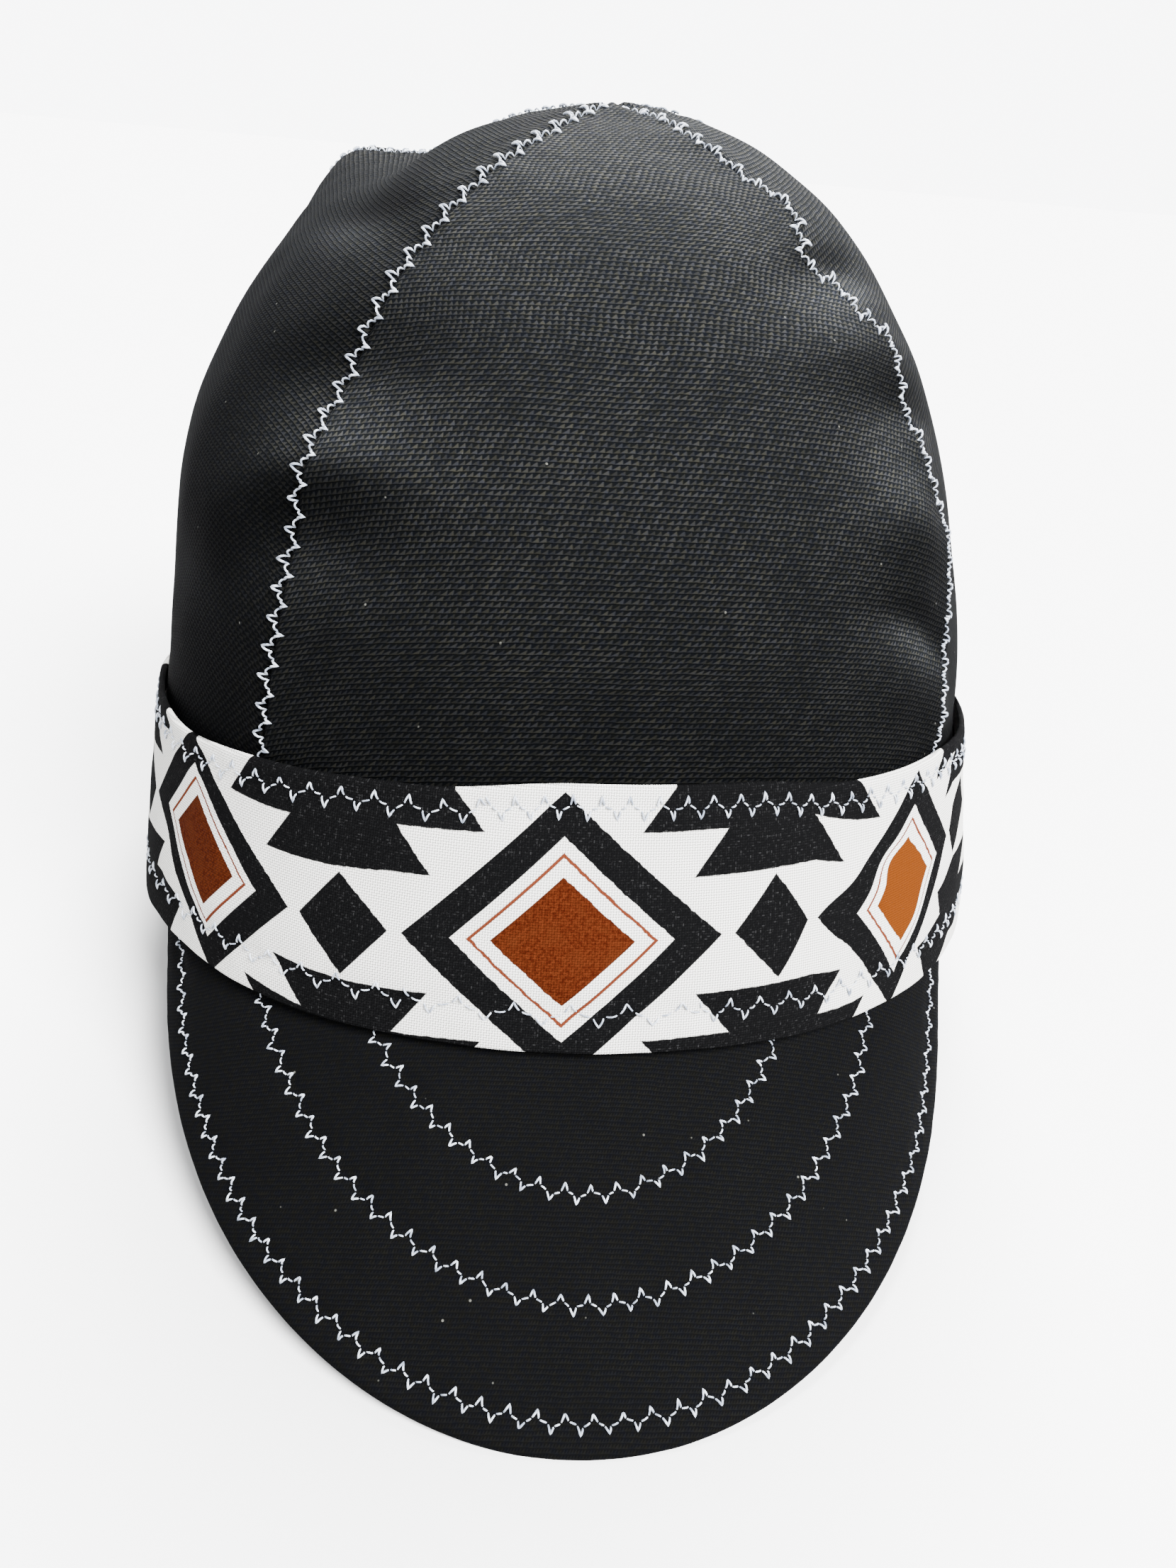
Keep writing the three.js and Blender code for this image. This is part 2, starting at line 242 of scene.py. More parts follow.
def to_rest(points):
    """Worn millimetres to metres at rest, pressed flat where the cloth would go through the floor."""
    x, y, z = np.moveaxis(np.asarray(points, float), -1, 0)
    sine, cosine = math.sin(REST_TILT), math.cos(REST_TILT)
    placed = np.stack([x, y * cosine + z * sine, -y * sine + z * cosine], -1) + REST_SHIFT
    below = np.maximum(0, -placed[..., 2])
    placed[..., 1] += below * math.tan(REST_TILT)
    placed[..., 2] += below
    return placed / 1000


def smooth(value, low, high):
    share = np.clip((value - low) / (high - low), 0, 1)
    return share * share * (3 - 2 * share)


def from_table(table, share):
    place = np.clip(share, 0, 1) * (len(table) - 1)
    index = np.minimum(np.floor(place).astype(int), len(table) - 2)
    entries = np.array(table, float)
    return entries[index] + (entries[index + 1] - entries[index]) * smooth(place - index, 0, 1)


def hill(away, reach):
    return np.exp(-(away / reach) ** 2)


def signed_power(value, exponent):
    return np.sign(value) * np.abs(value) ** exponent


def narrowing(profile, height):
    crest, wall = profile
    return (1 - np.clip(height / CROWN_HEIGHT, 0, 1) ** crest) ** (1 / wall)


def half_sizes(to_right, height, offset):
    """Half width and half length of the crown's outer face at a height, let out by an offset."""
    let_out = HEM_FLARE * np.maximum(0, 1 - height / BAND_TOP_FRONT) + offset
    side = np.where(to_right, narrowing(PROFILES["right"], height), narrowing(PROFILES["left"], height))
    return (HEAD_WIDTH / 2 * side + let_out,
            HEAD_LENGTH / 2 * narrowing(PROFILES["ends"], height) + let_out)


def outline_point(angle, height, offset):
    across = signed_power(np.sin(angle), 2 / HEAD_SQUARENESS)
    along = signed_power(np.cos(angle), 2 / HEAD_SQUARENESS)
    width, length = half_sizes(across > 0, height, offset)
    return np.stack([width * across, -length * along, height + 0 * angle], -1)


def disc_height(right, back):
    return CROWN_HEIGHT * np.maximum(0, np.cos(np.hypot(right, back) * math.pi / 2))


def smooth_crown(right, back):
    return outline_point(np.arctan2(right, -back), disc_height(right, back), 0)


def unit(vectors):
    return vectors / np.maximum(np.linalg.norm(vectors, axis=-1, keepdims=True), 1e-9)


def lengths_along(points, axis=0):
    """Length from the first point to each, along one axis of a grid of points."""
    steps = np.linalg.norm(np.diff(points, axis=axis), axis=-1)
    return np.concatenate([0 * np.take(steps, [0], axis), np.cumsum(steps, axis)], axis)


def facing(surface, right, back, step=0.004):
    """Outward direction of a surface that is drawn on the crown's disc."""
    across = surface(right + step, back) - surface(right - step, back)
    along = surface(right, back + step) - surface(right, back - step)
    return unit(np.cross(across, along))


def folded_crown(right, back):
    depth = 0 * right
    for angle, reach, around, down, out in FOLDS:
        turn = math.radians(angle)
        outwards = right * math.sin(turn) - back * math.cos(turn) - reach
        sideways = right * math.cos(turn) + back * math.sin(turn)
        depth = depth + out * CROWN_HEIGHT * np.exp(-(outwards / down) ** 2 - (sideways / around) ** 2)
    freedom = smooth(disc_height(right, back), BAND_TOP_FRONT, 2 * BAND_TOP_FRONT)
    return smooth_crown(right, back) + (freedom * depth)[..., None] * facing(smooth_crown, right, back)


def seam_place(start, stop, turn, across, up, tip=0.0015):
    """Place on the disc, a share across from one seam to the next and up from rim to meeting."""
    angle = np.radians(SEAMS[start][0] + (SEAMS[stop][0] + turn - SEAMS[start][0]) * across)
    first, second = from_table(SEAMS[start][1], up), from_table(SEAMS[stop][1], up)
    drift = first + (second - first) * across
    way = np.stack([np.sin(angle), MEETING_REACH - np.cos(angle)], -1)
    aside = unit(np.stack([-way[..., 1], way[..., 0]], -1))
    place = way * (1 - up * (1 - tip))[..., None] + aside * drift[..., None]
    return place[..., 0], place[..., 1] - MEETING_REACH


# The stitching draws the seams in: the cloth rises over the seam allowance, dips into the seam
# itself and puckers beside it, most of all along the right front seam
SEAM_RISE, SEAM_RISE_WIDTH = 0.45, 5.0
SEAM_DIP, SEAM_DIP_WIDTH = 0.65, 0.7
PUCKER_WIDTH, PUCKER_LENGTH = 9.0, 8.0
PUCKERS = {"front_left": 0.55, "front_right": 0.8, "back_right": 0.5, "back_left": 0.5}

# Unevenness of the slack cloth: height and length of its waves in millimetres, and place in the noise
CROWN_WAVES = ((1.1, 34.0, (31, 7, 3)), (0.33, 34.0 / 2.6, (5, 41, 9)))

# Creases and hollows of the cloth above the band: place right and back on the disc, direction the
# crease runs in, its half length and half width, and how far it stands out, all but the direction
# and the last as shares of the crown's reach, the last in millimetres
CREASES = [
    (-0.295, -0.455, -28, 0.15, 0.045, -1.1),
    (-0.335, -0.525, -28, 0.14, 0.026, 0.8),
    (-0.37, -0.575, -28, 0.15, 0.032, -0.6),
    (-0.60, -0.39, -56, 0.13, 0.035, -1.0),
    (-0.28, -0.25, -55, 0.11, 0.035, -1.0),
    (0.26, -0.31, 43, 0.09, 0.025, -0.8),
    (0.33, -0.35, 40, 0.13, 0.040, 0.9),
    (0.40, -0.37, 42, 0.11, 0.025, -0.6),
    (0.45, -0.46, 35, 0.12, 0.040, 1.2),
    (0.505, -0.525, 31, 0.12, 0.018, -0.9),
    (0.53, -0.57, 33, 0.13, 0.030, 0.6),
]
# Painted light and shade on the creases: the cloth is coloured paler where a crease faces up to the light
# and darker where it faces down
CREASE_PAINTED_SHADING = 5.5


def band_top(angle):
    share = (1 + np.cos(angle)) / 2
    aside = (angle + math.pi) % (2 * math.pi) - math.pi
    wave = from_table(BAND_WAVE, (aside + BAND_WAVE_REACH) / (2 * BAND_WAVE_REACH))
    return (BAND_TOP_BACK + (BAND_TOP_FRONT - BAND_TOP_BACK) * share + BAND_TOP_LEAN * np.sin(angle)
            + BAND_TOP_FRONT * wave)


def gentle_noise(points, length):
    """Smooth noise from -1 to 1 over an array of points, with a wave of about that length."""
    flat = np.asarray(points, float).reshape(-1, 3) / length
    values = [noise.noise(Vector(p)) for p in flat]
    return np.array(values).reshape(np.shape(points)[:-1])


def waves(points, table):
    return sum(high * gentle_noise(points + shift, length) for high, length, shift in table)


def crease_relief(right, back):
    relief = 0 * right
    for at_right, at_back, turn, long, wide, out in CREASES:
        turn = math.radians(turn)
        ahead = (right - at_right) * math.cos(turn) + (back - at_back) * math.sin(turn)
        aside = (back - at_back) * math.cos(turn) - (right - at_right) * math.sin(turn)
        relief = relief + out * np.exp(-(ahead / long) ** 2 - (aside / wide) ** 2)
    return relief


def crown_relief(right, back, distance, along, seam, groove=True):
    """How far the sewn cloth stands out from the crown's smooth form."""
    relief = waves(smooth_crown(right, back), CROWN_WAVES) + crease_relief(right, back)
    for side, name in enumerate(seam):
        away = distance[side]
        wave = np.stack([along / PUCKER_LENGTH, 0 * along + 17.0 * len(name) + 3.1 * ord(name[-1]),
                         0 * along], -1)
        relief += PUCKERS[name] * gentle_noise(wave, 1.0) * hill(away, PUCKER_WIDTH)
        relief += SEAM_RISE * hill(away, SEAM_RISE_WIDTH)
        if groove:
            relief -= SEAM_DIP * hill(away, SEAM_DIP_WIDTH)
    angle = np.arctan2(right, -back)
    return relief * smooth(disc_height(right, back) - band_top(angle), -3.0, 5.0)


# Painted light of a cloth: how much paler or darker its colour is made, 0.5 for not at all, and how much
# its weave's painted highlights show
NO_PAINTED_LIGHT = (0.5, 1.0)


def cloth_mesh(name, outer, inner, uv, goes_round=False, wear=None):
    """Closed cloth wall between two grids of points, columns first, with its UV maps: the place on
    the cloth in millimetres, and its painted light and shade."""
    columns, rows = outer.shape[:2]
    points = np.concatenate([outer.reshape(-1, 3), inner.reshape(-1, 3)])
    at = lambda side, i, j: (side * columns + i % columns) * rows + j
    faces, corners, painted_light_corners = [], [], []
    if wear is None:
        wear = 0 * uv + NO_PAINTED_LIGHT

    def quad(*places):
        faces.append([at(side, i, j) for side, i, j in places])
        corners.extend(uv[i, j] for side, i, j in places)
        painted_light_corners.extend(wear[i, j] for side, i, j in places)

    spans = columns if goes_round else columns - 1
    for i in range(spans):
        for j in range(rows - 1):
            quad((0, i, j), (0, i + 1, j), (0, i + 1, j + 1), (0, i, j + 1))
            quad((1, i, j), (1, i, j + 1), (1, i + 1, j + 1), (1, i + 1, j))
        quad((1, i, 0), (1, i + 1, 0), (0, i + 1, 0), (0, i, 0))
        quad((0, i, rows - 1), (0, i + 1, rows - 1), (1, i + 1, rows - 1), (1, i, rows - 1))
    if not goes_round:
        last = columns - 1
        for j in range(rows - 1):
            quad((1, 0, j), (0, 0, j), (0, 0, j + 1), (1, 0, j + 1))
            quad((0, last, j), (1, last, j), (1, last, j + 1), (0, last, j + 1))
    mesh = bpy.data.meshes.new(name)
    mesh.from_pydata(points.tolist(), [], faces)
    for title, values in (("cloth", corners), ("wear", painted_light_corners)):
        layer = mesh.uv_layers.new(name=title)
        layer.data.foreach_set("uv", np.array(values, np.float32).ravel())
    mesh.shade_smooth()
    return mesh


# How level the weave's rows run on the front panel, and how much they bow on all
ROW_LEVEL, ROW_BOW = 0.25, 0.45


def panel_cloth_lines(points, right, back, middle):
    """UV in millimetres along the cloth's own threads, with the rows square to the panel's middle."""
    turn = math.radians(middle)
    ahead = right * math.sin(turn) - (back + MEETING_REACH) * math.cos(turn)
    reach = np.maximum(np.hypot(right, back + MEETING_REACH), 1e-6)
    level = ROW_LEVEL * (1 + math.cos(turn))
    blended = np.maximum(ahead, 1e-6) ** ROW_BOW * reach ** (1 - ROW_BOW)
    blended = (1 - level) * blended + level * np.hypot(right, back)
    centre = points.shape[0] // 2
    up = lengths_along(points[centre])
    order = np.argsort(blended[centre])
    rows = np.interp(blended, blended[centre][order], up[order])
    rows += (blended - blended[centre].max()).clip(0) * -HEAD_LENGTH * 0.9
    spans = np.linalg.norm(np.diff(points, axis=0), axis=-1) ** 2 - np.diff(rows, axis=0) ** 2
    across = np.concatenate([np.zeros((1, points.shape[1])), np.cumsum(np.sqrt(spans.clip(1e-4)), 0)])
    return np.stack([across - across[centre], rows], -1)


# Share of the light threads' colour where the weave doesn't show; how much the weave's painted highlights
# show on each panel further in millimetres than the seam width below from its seams, and that panel's
# painted light, paler or darker by how the light falls on it
EVEN_LIGHT = 0.06
PANEL_PAINTED_LIGHT = {"crown_front_panel": (1.0, 1.0), "crown_left_panel": (0.35, 0.72),
               "crown_right_panel": (0.8, 1.12), "crown_back_panel": (0.5, 0.9)}
SEAM_HIGHLIGHT_WIDTH = 14.0
# Painted light: heights in metres between which the cloth is coloured paler towards the top, where
# more light falls on it, and its top paler still
PAINTED_LIGHT_HEIGHTS, TOP_HEIGHTS, TOP_PAINTED_LIGHT = (0.055, 0.16), (0.125, 0.17), 0.25
# Lint: how close its specks lie, the share of places without one, size, and how much each covers
LINT_CLOSENESS, LINT_NONE, LINT_SIZE, LINT_COVER = 0.24, 0.65, (0.025, 0.06), 0.45


def duck_cloth(name, dark, light, row_pitch, column_pitch, weave_depth, height_painted_light):
    """Black cotton duck: rows of fine slanted dashes over a thin bright lower edge, the dashes and edge
    painted highlights of the yarn.
    """
    cloth = Shader(name)
    u, v = cloth.uv("cloth")
    plane = cloth.plane(u, v)
    u = cloth.times_plus(cloth.noise(plane, 0.12), 1.4, u)
    v = cloth.times_plus(cloth.noise(plane, 0.35), 0.45, v)
    row = cloth.math("DIVIDE", v, row_pitch)
    row_number = cloth.math("FLOOR", row)
    within = cloth.math("FRACT", row)
    shift = cloth.times(cloth.math("FLOORED_MODULO", row_number, 2.0), 0.5)
    column = cloth.plus(cloth.math("DIVIDE", u, column_pitch), shift)
    column = cloth.times_plus(within, -0.7, column)
    beside = cloth.math("ABSOLUTE", cloth.times_plus(cloth.math("FRACT", column), 2.0, -1.0))
    dash = cloth.add("ShaderNodeTexWhiteNoise",
                     {"Vector": cloth.plane(cloth.math("FLOOR", column), row_number)},
                     noise_dimensions="2D").outputs["Value"]
    edge = cloth.times(cloth.ramp(within, 0.06, 0.2), cloth.ramp(within, 0.28, 0.5, 1.0, 0.0))
    tooth = cloth.minus(cloth.times_plus(beside, -0.9, 1.25), within)
    tooth = cloth.times(cloth.ramp(tooth, -0.1, 0.4), cloth.ramp(within, 0.08, 0.25))
    height = cloth.larger(cloth.times(edge, 0.8), tooth)
    thread = cloth.noise(cloth.plane(cloth.times(u, 0.35), row_number), 1.0, 1.0)
    # Painted highlights of the yarn: the pale dashes and the thin bright lower edge
    lit = cloth.times(tooth, cloth.times_plus(dash, 0.5, 0.35))
    lit = cloth.larger(lit, cloth.times(edge, cloth.times(thread, 0.5)))
    lit = cloth.times(lit, cloth.ramp(cloth.noise(plane, 0.045, 3.0), 0.3, 0.7, 0.8, 1.2))
    # Painted light and shade from the mesh's second UV map, and how much of the weave's painted highlights
    # show
    painted_light_factor, highlight_share = cloth.uv("wear")
    lit = cloth.times_plus(cloth.minus(lit, EVEN_LIGHT), highlight_share, EVEN_LIGHT)
    color = cloth.mix(lit, dark, light)
    tint = cloth.mix(cloth.ramp(cloth.noise(plane, 1.1, 3.0), 0.3, 0.7), (0.80, 0.85, 1.0, 1),
                     (1.0, 0.98, 0.78, 1))
    place = cloth.add("ShaderNodeSeparateXYZ",
                      {0: cloth.add("ShaderNodeTexCoord").outputs["Object"]}).outputs["Z"]
    # Painted light: the colour grows paler towards the top where more light falls, and paler or darker on
    # creases and panels
    painted_light_gain = cloth.times(cloth.ramp(place, *PAINTED_LIGHT_HEIGHTS, 1.0, height_painted_light),
                       cloth.ramp(place, *TOP_HEIGHTS, 1.0, 1.0 + TOP_PAINTED_LIGHT * (height_painted_light - 1)))
    painted_light_gain = cloth.times(painted_light_gain, cloth.times(painted_light_factor, 2.0))
    for factor in (tint, cloth.plane(painted_light_gain, painted_light_gain, painted_light_gain)):
        color = cloth.mix(1.0, color, factor, "MULTIPLY")
    lint = cloth.add("ShaderNodeTexVoronoi",
                     {"Vector": plane, "Scale": LINT_CLOSENESS, "Randomness": 1.0})
    picked = cloth.add("ShaderNodeSeparateXYZ", {0: lint.outputs["Color"]})
    speck = cloth.times(cloth.ramp(lint.outputs["Distance"], *LINT_SIZE, 1.0, 0.0),
                        cloth.math("GREATER_THAN", picked.outputs["X"], LINT_NONE))
    color = cloth.mix(cloth.times(speck, LINT_COVER), color, (0.16, 0.16, 0.14, 1))
    cloth.surface.inputs["Sheen Weight"].default_value = 0.003
    cloth.surface.inputs["Sheen Roughness"].default_value = 0.5
    cloth.surface.inputs["Sheen Tint"].default_value = (0.85, 0.88, 1.0, 1)
    cloth.surface.inputs["Specular IOR Level"].default_value = 0.008
    return cloth.finish(color, cloth.ramp(height, 0.0, 1.0, 0.95, 0.75), height, weave_depth, 0.9)


# The crown's colour is painted paler towards its top, standing in for the light from above
crown_duck = duck_cloth("crown_duck", (0.0008, 0.0009, 0.0011, 1), (0.0059, 0.0058, 0.0057, 1),
                        row_pitch=0.85, column_pitch=1.1, weave_depth=0.0002, height_painted_light=4.2)

panel_share = np.linspace(0, 1, PANEL_COLUMNS + 1)
panel_share = panel_share - PANEL_CROWDING * np.sin(2 * math.pi * panel_share)
panel_up = np.linspace(0, 1, PANEL_ROWS + 1)
for name, (start, stop, turn) in PANELS.items():
    across, up = np.meshgrid(panel_share, panel_up, indexing="ij")
    right, back = seam_place(start, stop, turn, across, up)
    form = folded_crown(right, back)
    from_start = lengths_along(form)
    to_stop = from_start[-1:] - from_start
    along_start, along_stop = [
        lengths_along(folded_crown(*seam_place(start, stop, turn, 0 * across + side, up)), 1)
        for side in (0, 1)]
    along = along_start + (along_stop - along_start) * across
    relief = crown_relief(right, back, (from_start, to_stop), along, (start, stop))
    outwards = facing(folded_crown, right, back)
    outer = form + relief[..., None] * outwards
    inner = outer - CROWN_CLOTH * outwards
    middle = (SEAMS[start][0] + SEAMS[stop][0] + turn) / 2
    # Painted light and shade: the colour is made paler where a crease faces up and darker where it faces
    # down
    slope = -np.gradient(crease_relief(right, back), axis=1) / np.maximum(
        np.linalg.norm(np.gradient(form, axis=1), axis=-1), 0.05)
    # Painted highlights of the weave show in full near the seams, and each panel is painted paler or darker
    # by how the light falls on it
    near_seam = hill(np.minimum(from_start, to_stop), SEAM_HIGHLIGHT_WIDTH)
    highlight_share, pale = PANEL_PAINTED_LIGHT[name]
    highlight_share = highlight_share + (1 - highlight_share) * near_seam
    wear = np.stack([NO_PAINTED_LIGHT[0] * pale * np.exp(CREASE_PAINTED_SHADING * slope), highlight_share], -1)
    mesh = cloth_mesh(name + "_cloth", to_rest(outer), to_rest(inner),
                      panel_cloth_lines(form, right, back, middle), wear=wear)
    panel = show(name + "_cloth", mesh, crown_duck)
    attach(panel, "root")
    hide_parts(name)


# The seams' stitching
# Each seam is topstitched with a pale polyester thread in a three-step zigzag that straddles it,
# from under the band up to the meeting of the seams. Every tooth has sharp ends and a flatter middle.

ZIGZAG_ACROSS = (1.0, 0.18, -0.10, -1.0, -0.18, 0.10)
ZIGZAG_ALONG = (0.0, -0.05, 0.045, 0.0, -0.05, 0.045)
STITCH_ARCH = (-1.7, 0.05, 0.5, 0.05)
PEAK_ARCH = (1.6, 0.4, 0.1, 0.4)
STITCH_CUTS = 3
THIN_PART = 0.68
THREAD_SIDES = 6


class Weaver(Shader):
    """A geometry tree and a short way to write its nodes."""

    def __init__(self, name, inputs):
        self.tree = bpy.data.node_groups.new(name, "GeometryNodeTree")
        self.tree.interface.new_socket(name="Stitches", in_out="OUTPUT",
                                       socket_type="NodeSocketGeometry")
        for title, kind in inputs:
            self.tree.interface.new_socket(name=title, in_out="INPUT", socket_type="NodeSocket" + kind)
        self.given = self.tree.nodes.new("NodeGroupInput").outputs

    def step(self, kind, inputs=(), **settings):
        """What one geometry node gives."""
        return self.add("GeometryNode" + kind, inputs, **settings).outputs[0]

    def pick(self, index, values):
        made = self.add("GeometryNodeIndexSwitch", data_type="FLOAT")
        while len(made.index_switch_items) < len(values):
            made.index_switch_items.new()
        self.feed(made.inputs["Index"], index)
        for socket, value in zip(list(made.inputs)[1:], values):
            socket.default_value = value
        return made.outputs[0]

    def scaled(self, vector, factor):
        return self.add("ShaderNodeVectorMath", {0: vector, "Scale": factor},
                        operation="SCALE").outputs[0]

    def sum(self, first, second):
        return self.add("ShaderNodeVectorMath", {0: first, 1: second}, operation="ADD").outputs[0]

    def attribute(self, name):
        return self.step("InputNamedAttribute", {"Name": name}, data_type="FLOAT_VECTOR")


stitcher = Weaver("zigzag_stitching", [("Line", "Geometry"), ("Pitch", "Float"), ("Width", "Float"),
                                       ("Thread", "Float"), ("Looseness", "Float"), ("Seed", "Int"),
                                       ("Finish", "Material")])
given = stitcher.given
# One knot for each entry of the zigzag's tables, swung across the line and a little along it
line = stitcher.step("MeshToCurve", {"Mesh": given["Line"]})
knot_length = stitcher.math("DIVIDE", given["Pitch"], len(ZIGZAG_ACROSS))
line = stitcher.step("ResampleCurve", {"Curve": line, "Length": knot_length}, mode="LENGTH")
knot = stitcher.add("GeometryNodeSplineParameter").outputs["Index"]
knot = stitcher.math("MODULO", knot, len(ZIGZAG_ACROSS))
across_share = stitcher.pick(knot, ZIGZAG_ACROSS)
along_share = stitcher.pick(knot, ZIGZAG_ALONG)
stray = []
for offset in (0, 1):
    seed = stitcher.plus(given["Seed"], offset)
    drawn = stitcher.add("FunctionNodeRandomValue", {"Seed": seed}, data_type="FLOAT")
    drawn.inputs[2].default_value = -1.0
    drawn.inputs[3].default_value = 1.0
    stray.append(stitcher.times(drawn.outputs[1], given["Looseness"]))
sideways = stitcher.times_plus(across_share,
                               stitcher.times(given["Width"], 0.5), stray[0])
onward = stitcher.times_plus(along_share, given["Pitch"], stray[1])
tangent = stitcher.step("InputTangent")
swing = stitcher.sum(stitcher.scaled(stitcher.attribute("across"), sideways),
                     stitcher.scaled(tangent, onward))
line = stitcher.step("StoreNamedAttribute",
                     {"Geometry": line, "Name": "pull",
                      "Value": stitcher.math("ABSOLUTE", across_share)},
                     data_type="FLOAT", domain="POINT")
line = stitcher.step("SetPosition", {"Geometry": line, "Offset": swing})
# Between the peaks the thread dives into the cloth at every knot, and arches over it on the way
line = stitcher.step("SubdivideCurve", {"Curve": line, "Cuts": STITCH_CUTS})
bead = stitcher.add("GeometryNodeSplineParameter").outputs["Index"]
bead = stitcher.math("MODULO", bead, STITCH_CUTS + 1)
pull = stitcher.step("InputNamedAttribute", {"Name": "pull"}, data_type="FLOAT")
rise = stitcher.times_plus(stitcher.pick(bead, PEAK_ARCH), pull,
                           stitcher.pick(bead, STITCH_ARCH))
rise = stitcher.times(rise, given["Thread"])
line = stitcher.step("SetPosition",
                     {"Geometry": line, "Offset": stitcher.scaled(stitcher.attribute("out"), rise)})
fullness = stitcher.times_plus(pull, 1 - THIN_PART, THIN_PART)
line = stitcher.step("SetCurveRadius", {"Curve": line, "Radius": fullness})
ring = stitcher.step("CurvePrimitiveCircle",
                     {"Resolution": THREAD_SIDES, "Radius": stitcher.math("DIVIDE", given["Thread"], 2)})
body = stitcher.add("GeometryNodeCurveToMesh", {"Curve": line, "Profile Curve": ring,
                                                "Fill Caps": True})
if "Scale" in body.inputs:
    stitcher.feed(body.inputs["Scale"], fullness)
body = stitcher.step("SetShadeSmooth", {"Geometry": body.outputs[0]})
body = stitcher.step("RealizeInstances", {"Geometry": body})
body = stitcher.step("SetMaterial", {"Geometry": body, "Material": given["Finish"]})
stitcher.add("NodeGroupOutput", {"Stitches": body})


def sew(name, lines, pitch, width, thread, looseness, seed):
    """A piece of zigzag stitching along lines of (points, directions across, directions out)."""
    mesh = bpy.data.meshes.new(name)
    points, edges, across, out = [], [], [], []
    for line_points, line_across, line_out in lines:
        first = len(points)
        points.extend(map(tuple, line_points))
        across.extend(map(tuple, line_across))
        out.extend(map(tuple, line_out))
        edges.extend((i, i + 1) for i in range(first, len(points) - 1))
    mesh.from_pydata(points, edges, [])
    for title, values in (("across", across), ("out", out)):
        layer = mesh.attributes.new(title, "FLOAT_VECTOR", "POINT")
        layer.data.foreach_set("vector", np.array(values, np.float32).ravel())
    guide = bpy.data.objects.new(name + "_line", mesh)
    bpy.context.collection.objects.link(guide)
    modifier = guide.modifiers.new("stitching", "NODES")
    modifier.node_group = stitcher.tree
    sizes = {"Pitch": pitch, "Width": width, "Thread": thread, "Looseness": looseness,
             "Seed": seed, "Finish": thread_finish}
    for item in stitcher.tree.interface.items_tree:
        if item.in_out == "INPUT" and item.name in sizes:
            modifier[item.identifier] = sizes[item.name]
    bpy.context.view_layer.update()
    ready = guide.evaluated_get(bpy.context.evaluated_depsgraph_get())
    made = bpy.data.meshes.new_from_object(ready)
    guide.modifiers.clear()
    bpy.data.objects.remove(guide)
    return show(name, made, thread_finish)


def stitch_line(surface, outwards, shown=slice(None)):
    """A worn line on cloth at rest, where it shows, with unit directions across it and out."""
    placed = to_rest(surface)[shown]
    away = unit(to_rest(surface + outwards) - to_rest(surface))[shown]
    ahead = unit(np.gradient(placed, axis=0))
    across = unit(np.cross(away, ahead))
    return placed, across, unit(np.cross(ahead, across))


thread_shader = Shader("zigzag_thread")
thread_place = thread_shader.add("ShaderNodeTexCoord").outputs["Object"]
thread_tone = thread_shader.noise(thread_place, 900.0, 1.0)
thread_shader.surface.inputs["Sheen Weight"].default_value = 0.1
thread_shader.surface.inputs["Sheen Roughness"].default_value = 0.4
thread_finish = thread_shader.finish(
    thread_shader.mix(thread_shader.ramp(thread_tone, 0.3, 0.7), (0.18, 0.21, 0.27, 1),
                      (0.55, 0.59, 0.66, 1)),
    0.5, thread_shader.noise(thread_place, 3500.0, 1.0), 0.0001, 0.6)

# In metres: thickness of the thread, and pitch, width and unevenness of the zigzag; lifts over the
# cloth are in millimetres, as the cloth is
CROWN_THREAD, CROWN_PITCH, CROWN_WIDTH, CROWN_LOOSENESS = 0.00045, 0.0047, 0.0041, 0.00022
CROWN_LIFT = 0.1
seam_lines = []
line_up = np.linspace(0, 0.985, 300)
for start, stop, turn in PANELS.values():
    along_seam = 0 * line_up
    right, back = seam_place(start, stop, turn, along_seam, line_up)
    far_right, far_back = seam_place(start, stop, turn, along_seam + 1, line_up)
    form = folded_crown(right, back)
    apart = np.linalg.norm(form - folded_crown(far_right, far_back), axis=-1)
    relief = crown_relief(right, back, (0 * apart, apart), lengths_along(form), (start, stop),
                          groove=False)
    outwards = facing(folded_crown, right, back)
    shown = disc_height(right, back) > band_top(np.arctan2(right, -back)) - 1.5
    seam_lines.append(stitch_line(form + (relief + CROWN_LIFT)[:, None] * outwards, outwards, shown))
seam_stitches = sew("crown_seam_stitches", seam_lines, CROWN_PITCH, CROWN_WIDTH, CROWN_THREAD,
                    CROWN_LOOSENESS, seed=3)
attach(seam_stitches, "root")


# The brim
# Layers of the same duck, cut to a deep curve and turned to a soft round edge, with a seam
# allowance turned up between crown and band. Three stitch rows hold the layers and quilt them.

BRIM_LENGTH, BRIM_SIDE_INSET, BRIM_SETBACK = 63.4, 9.7, 23.7
BRIM_SQUARENESS, BRIM_SKEW = 1.96, 3.0
BRIM_DROOP = math.radians(45.5)
BRIM_CLOTH = 2.6
TURNUP_HEIGHT, TURNUP_CLOTH = 8.0, 1.9
ALLOWANCE_OUT = SEAM_GAP + TURNUP_CLOTH
BRIM_COLUMNS, BRIM_ROWS = 170, 62
BRIM_EDGE_ROUND = 1.25
ROW_INSETS = (4.58, 19.75, 34.92)
ROW_DIP, ROW_DIP_WIDTH = 0.42, 1.5
ROW_PUCKER, ROW_PUCKER_LENGTH, ROW_PUCKER_WIDTH = 0.22, 3.2, 4.0
BRIM_WAVES = ((0.75, 26.0, (3, 11, 5)), (0.3, 9.0, (9, 1, 7)))
slope_forward, slope_down = math.cos(BRIM_DROOP), math.sin(BRIM_DROOP)
brim_half_width = HEAD_WIDTH / 2 - BRIM_SIDE_INSET


